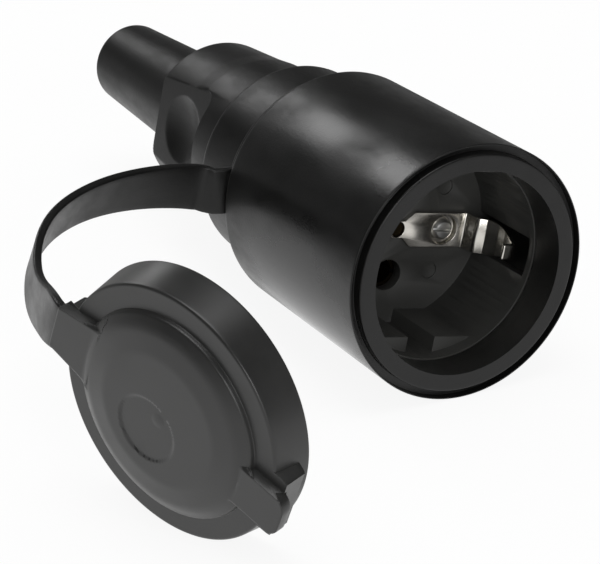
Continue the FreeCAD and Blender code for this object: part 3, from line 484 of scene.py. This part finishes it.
def makeLid(l):
    e, blend, padFoot, rimEdge = l["edge"], l["padBlend"], l["padFoot"], l["rimEdge"]
    rim, shoulder, bore = l["rim"], l["shoulder"], l["bore"]
    # the ledge round the dome ends a millimetre inside the shoulder, where the rounding starts
    ledge, ledgeHeight = shoulder - 1.0, l["height"] - 0.1
    centre = 1.0  # inside this radius a fan closes the face
    dome = [(across, l["domeTop"] - fall, bend) for across, fall, bend in l["domeRings"]]
    top = roundedProfile([
        (0, l["domeTop"], 0), *dome,
        (l["dome"] + 0.1, l["height"] - 0.05, 0.15), (ledge, ledgeHeight, 0.5),
    ], spacing=0.32, arcSteps=5)
    top = top[top[:, 0] > centre]
    side = roundedProfile([
        (ledge, ledgeHeight, 0), (shoulder, ledgeHeight, 0.9),
        (rim, rimEdge, rimEdge), (rim - rimEdge, 0, 0),
    ], spacing=0.4, arcSteps=6)[1:]
    inside = roundedProfile([
        (rim - rimEdge, 0, 0), (l["rimBore"], 0, 0), (l["rimBore"], l["rimDepth"], 0),
        (bore, l["rimDepth"], 0.3), (bore, l["innerDepth"], 0.8), (centre, l["innerDepth"], 0),
    ], spacing=1.5)[1:]
    profile = np.vstack([top, side, inside])
    kind = np.array([0] * len(top) + [1] * len(side) + [2] * len(inside))
    turned = lidColumns(l, profile[:, 0])
    rows, columns = turned.shape
    r = np.broadcast_to(profile[:, 0][:, None], turned.shape).copy()
    z = np.broadcast_to(profile[:, 1][:, None], turned.shape).copy()
    kinds = np.broadcast_to(kind[:, None], turned.shape)
    x, y = r * np.cos(turned), r * np.sin(turned)
    # the tab at -X has a rounded end, the strap root at +X is square
    tabHalf, padStart = l["tabHalf"], l["padStart"]
    roundOver = np.clip(np.abs(y) - (tabHalf - l["tabRound"]), 0, l["tabRound"])
    tabEnd = l["tabReach"] - l["tabRound"] + np.sqrt(l["tabRound"] ** 2 - roundOver ** 2)
    for sign, half, low, high, end in (
        (1, l["rootHalf"], l["rootLow"], l["rootTop"], np.full_like(x, l["rootReach"])),
        (-1, tabHalf, l["tabLow"], l["tabTop"], tabEnd),
    ):
        across = smoothStep(half + padFoot - np.abs(y), 0, blend)
        overEdge = np.clip(1 - (half - np.abs(y)) / e, 0, 1)
        edgeFall = e * (1 - np.sqrt(1 - overEdge ** 2))
        onPad = (x * sign > 0) & (np.abs(y) < half + padFoot + 0.01)
        # over the annulus the pad lies on the dome's foot and runs out past the shoulder
        share = np.clip((r - padStart) / (shoulder - l["padInside"] - padStart), 0, 1)
        reach = padStart + share * (end - e - padStart)
        padX = np.maximum(np.abs(x), reach)
        padZ = np.maximum(z, (high - edgeFall))
        useTop = onPad & (kinds == 0) & (r > padStart)
        x = np.where(useTop, np.abs(x) * sign * (1 - across) + padX * sign * across, x)
        z = np.where(useTop, z * (1 - across) + padZ * across, z)
        # the side rows first wrap round the pad's end, then fall back to the shoulder under it
        levels = np.array([high - 0.05 * e, high - 0.3 * e, high - e, (high + low) / 2, low + e, low])
        bulge = np.array([-0.5 * e, -0.1 * e, 0, 0, 0, -0.4 * e])
        onSide = kinds == 1
        step = np.cumsum(onSide, axis=0) - 1
        onWrap = onPad & onSide & (step < len(levels))
        index = np.clip(step, 0, len(levels) - 1)
        wrapX = end + bulge[index]
        wrapZ = levels[index] - edgeFall
        x = np.where(onWrap, x * (1 - across) + sign * wrapX * across, x)
        z = np.where(onWrap, z * (1 - across) + wrapZ * across, z)
    # the round place pressed into the face
    plaqueX, plaqueY, plaqueRadius = l["plaque"]
    fromPlaque = np.hypot(x - plaqueX, y - plaqueY)
    pressed = l["plaqueDepth"] * smoothStep(plaqueRadius - fromPlaque, 0, l["plaqueEdge"])
    z = z - np.where(kinds == 0, pressed, 0)
    # block lugs below the tab and, hidden by it, the strap root
    lugSide = np.where(x > 0, l["rootLugHalf"], l["lugHalf"])
    lugAcross = smoothStep(lugSide + padFoot - np.abs(y), 0, blend)
    lugTall = smoothStep(z, l["lugLow"] - 0.1, l["lugLow"] + 0.15)
    lugTall = lugTall * smoothStep(l["height"] + 0.2 - z, 0, 0.3)
    onLug = (kinds == 1) & (np.abs(x) < l["lugReach"]) & (z < l["height"] + 0.2)
    x = np.where(onLug, x + np.sign(x) * (l["lugReach"] - np.abs(x)) * lugAcross * lugTall, x)
    # the strap root spreads towards the dome, and more on the side that hangs lower
    spreadFrom = l["dome"] - l["spreadStart"]
    along = np.clip((x - spreadFrom) / (l["rootReach"] - spreadFrom), 0, 1)
    upper, lower = [wide + (end - wide) * along for wide, end in (l["rootUpper"], l["rootLower"])]
    spread = np.where(y > 0, lower, upper) / l["rootHalf"]
    fade = 1 - smoothStep(np.abs(y), l["rootHalf"] + 0.12, l["spreadEnd"])
    upThere = smoothStep(z, l["rootLow"] - 0.3, l["rootLow"]) * (x > l["dome"] - 3.0) * (kinds < 2)
    spreadY = y * (1 + (spread - 1) * fade * upThere)
    beside = (np.abs(y) > l["rootHalf"] + 0.2) & (x > 0)
    x = np.where(beside, np.sqrt(np.maximum(x ** 2 + y ** 2 - spreadY ** 2, 0)), x)
    y = spreadY
    points = np.stack([x, y, z], axis=2).reshape(-1, 3)
    # the two centres are closed by one point each
    points = np.vstack([points, [[0, 0, l["domeTop"]], [0, 0, l["innerDepth"]]]])
    faces = gridFaces(rows, columns)
    total = rows * columns
    for c in range(columns):
        d = (c + 1) % columns
        faces.append((total, d, c))
        faces.append((total + 1, total - columns + c, total - columns + d))
    return meshObject("lidCap", points, faces, lidTurn, lidRubberPaintedLighter)


lidPiece = makeLid(lid)
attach(lidPiece, "lid")
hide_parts("lid")
print("Lid made:", len(lidPiece.data.polygons), "faces")


# Lid strap with its neck ring

strap = {
    # control points of the centre line, from the neck ring round to the lid's strap root
    "route": [(-18.5, 51.7, 3.1), (-27.0, 52.6, 3.1), (-24.5, 54.3, 3.2), (-33.4, 54.7, 5.5),
              (-50.8, 52.5, 7.4), (-68.1, 42.2, 6.6), (-76.6, 25.6, 2.4), (-80.6, 10.0, 5.0)],
    # the band ends sunk into the root, where the two are one moulding, and leaves it straight
    "sunk": 2.2, "rootLead": 3.1,
    "width": (9.4, 9.3), "thickness": 1.6, "corner": 0.45, "stations": 90,
    # its broad side's direction at the ring, and the share of its length by which it has turned
    "startWide": (0, 0.12, 0.99), "turnedBy": 0.7,
    # in the bend it leans by a half wave and a whole wave, in radians, and draws in by its waist
    "lean": (0.164, 0.144), "waist": 0.21,
    "ringOuter": 23.0, "ringInner": 18.5, "ringFront": 50.6, "ringThick": 2.2, "ringColumns": 160,
}


# Evenly spaced points of one smooth line that starts and ends at the route's own ends.
def smoothLine(route, count):
    curve = bpy.data.curves.new("route", "CURVE")
    curve.dimensions = "3D"
    spline = curve.splines.new("NURBS")
    spline.points.add(len(route) - 1)
    for point, place in zip(spline.points, route):
        point.co = (*place, 1)
    spline.order_u = 4
    spline.use_endpoint_u = True
    spline.resolution_u = 24  # steps from one control point to the next
    holder = bpy.data.objects.new("route", curve)
    bpy.context.scene.collection.objects.link(holder)
    line = bpy.data.meshes.new_from_object(holder)
    points = np.array([tuple(v.co) for v in line.vertices])
    bpy.data.objects.remove(holder)
    bpy.data.curves.remove(curve)
    bpy.data.meshes.remove(line)
    lengths = np.concatenate([[0], np.cumsum(np.linalg.norm(np.diff(points, axis=0), axis=1))])
    even = np.linspace(0, lengths[-1], count)
    return np.stack([np.interp(even, lengths, points[:, k]) for k in range(3)], axis=1)


def applyModifiers(piece):
    graph = bpy.context.evaluated_depsgraph_get()
    made = bpy.data.meshes.new_from_object(piece.evaluated_get(graph))
    made.name = piece.name
    piece.modifiers.clear()
    piece.data = made


def makeStrap(s):
    rootAside = (lid["rootLower"][1] - lid["rootUpper"][1]) / 2
    rootHeight = (lid["rootLow"] + lid["rootTop"]) / 2
    rootAt = lidTurn @ Vector((lid["rootReach"] - s["sunk"], rootAside, rootHeight))
    rootOut = lidTurn.to_3x3() @ Vector((1, 0, 0))
    rootWide = -(lidTurn.to_3x3() @ Vector((0, 1, 0))).normalized()
    route = s["route"] + [tuple(rootAt + rootOut * s["rootLead"]), tuple(rootAt)]
    line = smoothLine(route, s["stations"])
    along = np.gradient(line, axis=0)
    along /= np.linalg.norm(along, axis=1)[:, None]
    startWide = Vector(s["startWide"]).normalized()
    wideStart, wideEnd = s["width"]
    halfThick, halfWide = s["thickness"] / 2, wideStart / 2
    section = roundedProfile([
        (halfThick, -halfWide, s["corner"]), (halfThick, halfWide, s["corner"]),
        (-halfThick, halfWide, s["corner"]), (-halfThick, -halfWide, s["corner"]),
    ], spacing=1.0, arcSteps=4, closed=True)
    points = []
    for i, (place, tangent) in enumerate(zip(line, along)):
        share = i / (len(line) - 1)
        wide = np.array(startWide.lerp(rootWide, min(share / s["turnedBy"], 1.0)))
        wide = wide - tangent * (wide @ tangent)
        wide /= np.linalg.norm(wide)
        thick = np.cross(wide, tangent)
        middle = math.sin(math.pi * share)
        lean = s["lean"][0] * middle + s["lean"][1] * math.sin(2 * math.pi * share)
        leaned = wide * math.cos(lean) + thick * math.sin(lean)
        thick = thick * math.cos(lean) - wide * math.sin(lean)
        narrowing = 1 + (wideEnd / wideStart - 1) * share - s["waist"] / wideStart * middle ** 2
        points += [place + thick * a + leaned * b * narrowing for a, b in section]
    columns = len(section)
    faces = gridFaces(len(line), columns)
    faces.append(tuple(range(columns - 1, -1, -1)))
    faces.append(tuple(range((len(line) - 1) * columns, len(line) * columns)))
    band = meshObject("lidStrap", points, faces, Matrix.Identity(4), mouldedRubber)
    ringBack = s["ringFront"] + s["ringThick"]
    ringProfile = roundedProfile([
        (s["ringInner"], s["ringFront"], 0.2), (s["ringOuter"], s["ringFront"], 0.5),
        (s["ringOuter"], ringBack, 0.5), (s["ringInner"], ringBack, 0.2),
    ], spacing=1.2, arcSteps=3, closed=True)
    turns = np.linspace(0, 2 * math.pi, s["ringColumns"], endpoint=False)
    ringPoints = [(a * math.cos(t), b, a * math.sin(t)) for a, b in ringProfile for t in turns]
    ringFaces = gridFaces(len(ringProfile), s["ringColumns"], True)
    ring = meshObject("neckRing", ringPoints, ringFaces, Matrix.Identity(4), mouldedRubber)
    join = band.modifiers.new("join", "BOOLEAN")
    join.operation = "UNION"
    join.solver = "EXACT"
    join.object = ring
    applyModifiers(band)
    bpy.data.objects.remove(ring)
    return band


strapPiece = makeStrap(strap)
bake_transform(strapPiece)
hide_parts("lid_strap")
print("Strap made:", len(strapPiece.data.polygons), "faces")


# Pieces that are seen in the mouth: the solid with its sharp edges eased as a mould or a
# tumbling drum leaves them, in millimetres.
easedEdges = {
    "socket_insert": ("socketInsert", 0.22, "insert_plastic", phenolic),
    "earth_strip": ("earthStrip", 0.12, "nickel_strip", nickelPlate),
    "strip_screw_left": ("stripScrewLeft", 0.16, "screw_steel", zincPlate),
    "strip_screw_right": ("stripScrewRight", 0.16, "screw_steel", zincPlate),
}


# The CAD mesh has doubled points and split flats. Points within weld millimetres and faces
# within flatWithin degrees are merged, and edges that turn by more than easeFrom are eased.
easing = {"weld": 0.002, "flatWithin": 1.0, "easeFrom": 38.0, "segments": 2}


def makeEased(node, name, width, material):
    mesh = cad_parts[node].data.copy()
    mesh.name = name
    shape = bmesh.new()
    shape.from_mesh(mesh)
    bmesh.ops.remove_doubles(shape, verts=shape.verts, dist=easing["weld"] * mm)
    flat = math.radians(easing["flatWithin"])
    bmesh.ops.dissolve_limit(shape, angle_limit=flat, verts=shape.verts, edges=shape.edges)
    closed = [edge for edge in shape.edges if len(edge.link_faces) == 2]
    sharp = [edge for edge in closed if edge.calc_face_angle() > math.radians(easing["easeFrom"])]
    bmesh.ops.bevel(
        shape, geom=sharp, offset=width * mm, segments=easing["segments"], profile=0.5,
        affect="EDGES", clamp_overlap=True,
    )
    shape.to_mesh(mesh)
    shape.free()
    mesh.shade_smooth()
    mesh.set_sharp_from_angle(angle=math.radians(sharpAngle))
    mesh.materials.clear()
    mesh.materials.append(material)
    piece = bpy.data.objects.new(name, mesh)
    bpy.context.scene.collection.objects.link(piece)
    return piece


for node, (name, width, slot, material) in easedEdges.items():
    easedPiece = makeEased(node, name, width, material)
    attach(easedPiece, "connector")
    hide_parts(node)
    print("Edges eased:", name, len(easedPiece.data.polygons), "faces")


# The rest keeps its CAD shape and takes a finish. The screws are all zinc plated.
finishes = {
    "contact_carrier": dullPhenolic, "clamp_saddle": dullPhenolic,
    # the contacts and the earth terminal deep in the holes take the brass that is painted dark as
    # shade
    "contact_upper": brassPaintedShade, "contact_lower": brassPaintedShade, "earth_terminal": brassPaintedShade,
    "clamp_nut_left": machinedBrass, "clamp_nut_right": machinedBrass,
    "contact_ring_upper": springSteel, "contact_ring_lower": springSteel,
}
for name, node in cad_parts.items():
    material = finishes.get(name, zincPlate if "screw" in name else mouldedRubber)
    node.data.materials.clear()
    node.data.materials.append(material)
print("Finishes set on the carried-over nodes")


# Floor, light and camera

stageLook = {
    "floorLevel": -25.05, "floorSize": 3000.0, "floorColour": "#F4F4F4",
    # share of the floor that glows white in the picture; the rest is lit paper that takes the
    # shadow
    "floorWhite": 0.9,
    # the paper's light falls off this far out, in millimetres, as a reflection meets it
    "litPaper": (170.0, 330.0),
    "roomLevel": 0.55,
    # what a reflection meets above the white floor: the dark upper part of the room
    "upperRoom": 0.07,
    # height over which the white at the floor's level gives way to it, as the sine of its angle
    "horizon": 0.05,
}


# Two values for each ray: one where it shows the background, as the camera's own, mirrored
# ones and ones through glass do, and one for the camera's own alone.
def seenRay(tree):
    path = addNode(tree, "ShaderNodeLightPath")
    ownRay = (path, "Is Camera Ray")
    seen = ownRay
    for ray in ("Is Glossy Ray", "Is Transmission Ray"):
        either = addNode(tree, "ShaderNodeMath", {"operation": "MAXIMUM"}, i0=seen, i1=(path, ray))
        seen = (either, "Value")
    return seen, ownRay


def makeFloor(look):
    material = bpy.data.materials.new("whitePaperFloor")
    material.use_nodes = True
    tree = material.node_tree
    tree.nodes.clear()
    paper = addNode(tree, "ShaderNodeBsdfDiffuse", {"Color": hexColour(look["floorColour"])})
    glow = addNode(tree, "ShaderNodeEmission", {"Color": hexColour("#FFFFFF"), "Strength": 1.0})
    seen, ownRay = seenRay(tree)
    # a reflection meets less light further out on the paper, and the camera sees it all white
    place = addNode(tree, "ShaderNodeTexCoord")
    away = addNode(tree, "ShaderNodeVectorMath", {"operation": "LENGTH"}, i0=(place, "Object"))
    near, far = look["litPaper"]
    fade = addNode(tree, "ShaderNodeMapRange", {
        "From Min": near * mm, "From Max": far * mm, "To Min": 1.0, "To Max": look["upperRoom"],
    }, Value=(away, "Value"))
    level = addNode(tree, "ShaderNodeMath", {"operation": "MAXIMUM"}, i0=(fade, "Result"), i1=ownRay)
    tree.links.new(level.outputs["Value"], glow.inputs["Strength"])
    share = addNode(tree, "ShaderNodeMath", {"operation": "MULTIPLY"}, i0=seen)
    share.inputs[1].default_value = look["floorWhite"]
    mixed = addNode(tree, "ShaderNodeMixShader",
                    i0=(share, "Value"), i1=(paper, "BSDF"), i2=(glow, "Emission"))
    addNode(tree, "ShaderNodeOutputMaterial", Surface=(mixed, "Shader"))
    half = look["floorSize"] / 2
    corners = [(-half, -half, 0), (half, -half, 0), (half, half, 0), (-half, half, 0)]
    down = Matrix.Translation((0, 0, look["floorLevel"]))
    floor = meshObject("floor", corners, [(0, 1, 2, 3)], down, material)


makeFloor(stageLook)


def makeRoom(look):
    world = bpy.data.worlds.new("paleRoom")
    bpy.context.scene.world = world
    world.use_nodes = True
    tree = world.node_tree
    tree.nodes.clear()
    whiteColour = hexColour("#FFFFFF")
    dim = {"Color": whiteColour, "Strength": look["roomLevel"]}
    light = addNode(tree, "ShaderNodeBackground", dim)
    white = addNode(tree, "ShaderNodeBackground", {"Color": whiteColour, "Strength": 1.0})
    seen, ownRay = seenRay(tree)
    # mirrored rays find white at the floor's level and a darker room above it
    way = addNode(tree, "ShaderNodeTexCoord")
    height = addNode(tree, "ShaderNodeSeparateXYZ", Vector=(way, "Generated"))
    fade = addNode(tree, "ShaderNodeMapRange", {
        "From Min": 0.0, "From Max": look["horizon"], "To Min": 1.0, "To Max": look["upperRoom"],
    }, Value=(height, "Z"))
    level = addNode(tree, "ShaderNodeMath", {"operation": "MAXIMUM"}, i0=(fade, "Result"), i1=ownRay)
    tree.links.new(level.outputs["Value"], white.inputs["Strength"])
    pick = addNode(tree, "ShaderNodeMixShader",
                   i0=seen, i1=(light, "Background"), i2=(white, "Background"))
    addNode(tree, "ShaderNodeOutputWorld", Surface=(pick, "Shader"))


makeRoom(stageLook)

# Places, sizes and the point that all lamps face are in millimetres, power is in watts.
lampTarget = (0, 40, 0)
lamps = {
    "backSoftbox": {"at": (-100, 940, 610), "size": (360, 240), "power": 1.5},
    "overheadSoftbox": {"at": (-150, -100, 1300), "size": (900, 700), "power": 7.0},
    "frontFill": {"at": (-300, -1200, 380), "size": (700, 500), "power": 5.0},
}
for name, look in lamps.items():
    light = bpy.data.lights.new(name, "AREA")
    light.shape = "RECTANGLE"
    light.size, light.size_y = look["size"][0] * mm, look["size"][1] * mm
    light.energy = look["power"]
    lamp = bpy.data.objects.new(name, light)
    lamp.location = Vector(look["at"]) * mm
    lamp.rotation_euler = (Vector(lampTarget) * mm - lamp.location).to_track_quat("-Z", "Y").to_euler()
    bpy.context.scene.collection.objects.link(lamp)

# Angles are in degrees, and distances from the mouth's centre in millimetres.
cameraLook = {
    "azimuth": -29.39, "elevation": 22.55, "roll": 0.48,
    "distance": 526.61, "aside": 31.08, "above": 1.42, "lens": 171.53, "sensor": 36.0,
}


def makeCamera(look):
    a, e = math.radians(look["azimuth"]), math.radians(look["elevation"])
    back = Vector((math.sin(a) * math.cos(e), -math.cos(a) * math.cos(e), math.sin(e)))
    right = Vector((math.cos(a), math.sin(a), 0))
    up = back.cross(right)
    roll = math.radians(look["roll"])
    across = right * math.cos(roll) + up * math.sin(roll)
    upright = up * math.cos(roll) - right * math.sin(roll)
    camera = bpy.data.cameras.new("photoCamera")
    camera.sensor_width = look["sensor"]
    camera.lens = look["lens"]
    camera.clip_start, camera.clip_end = 0.01, 20.0
    holder = bpy.data.objects.new("photoCamera", camera)
    place = (back * look["distance"] - across * look["aside"] - upright * look["above"]) * mm
    turn = Matrix((across, upright, back)).transposed().to_4x4()
    holder.matrix_world = Matrix.Translation(place) @ turn
    bpy.context.scene.collection.objects.link(holder)
    bpy.context.scene.camera = holder


makeCamera(cameraLook)
bpy.context.scene.view_settings.view_transform = "Standard"
print("Stage, lamps and camera set")
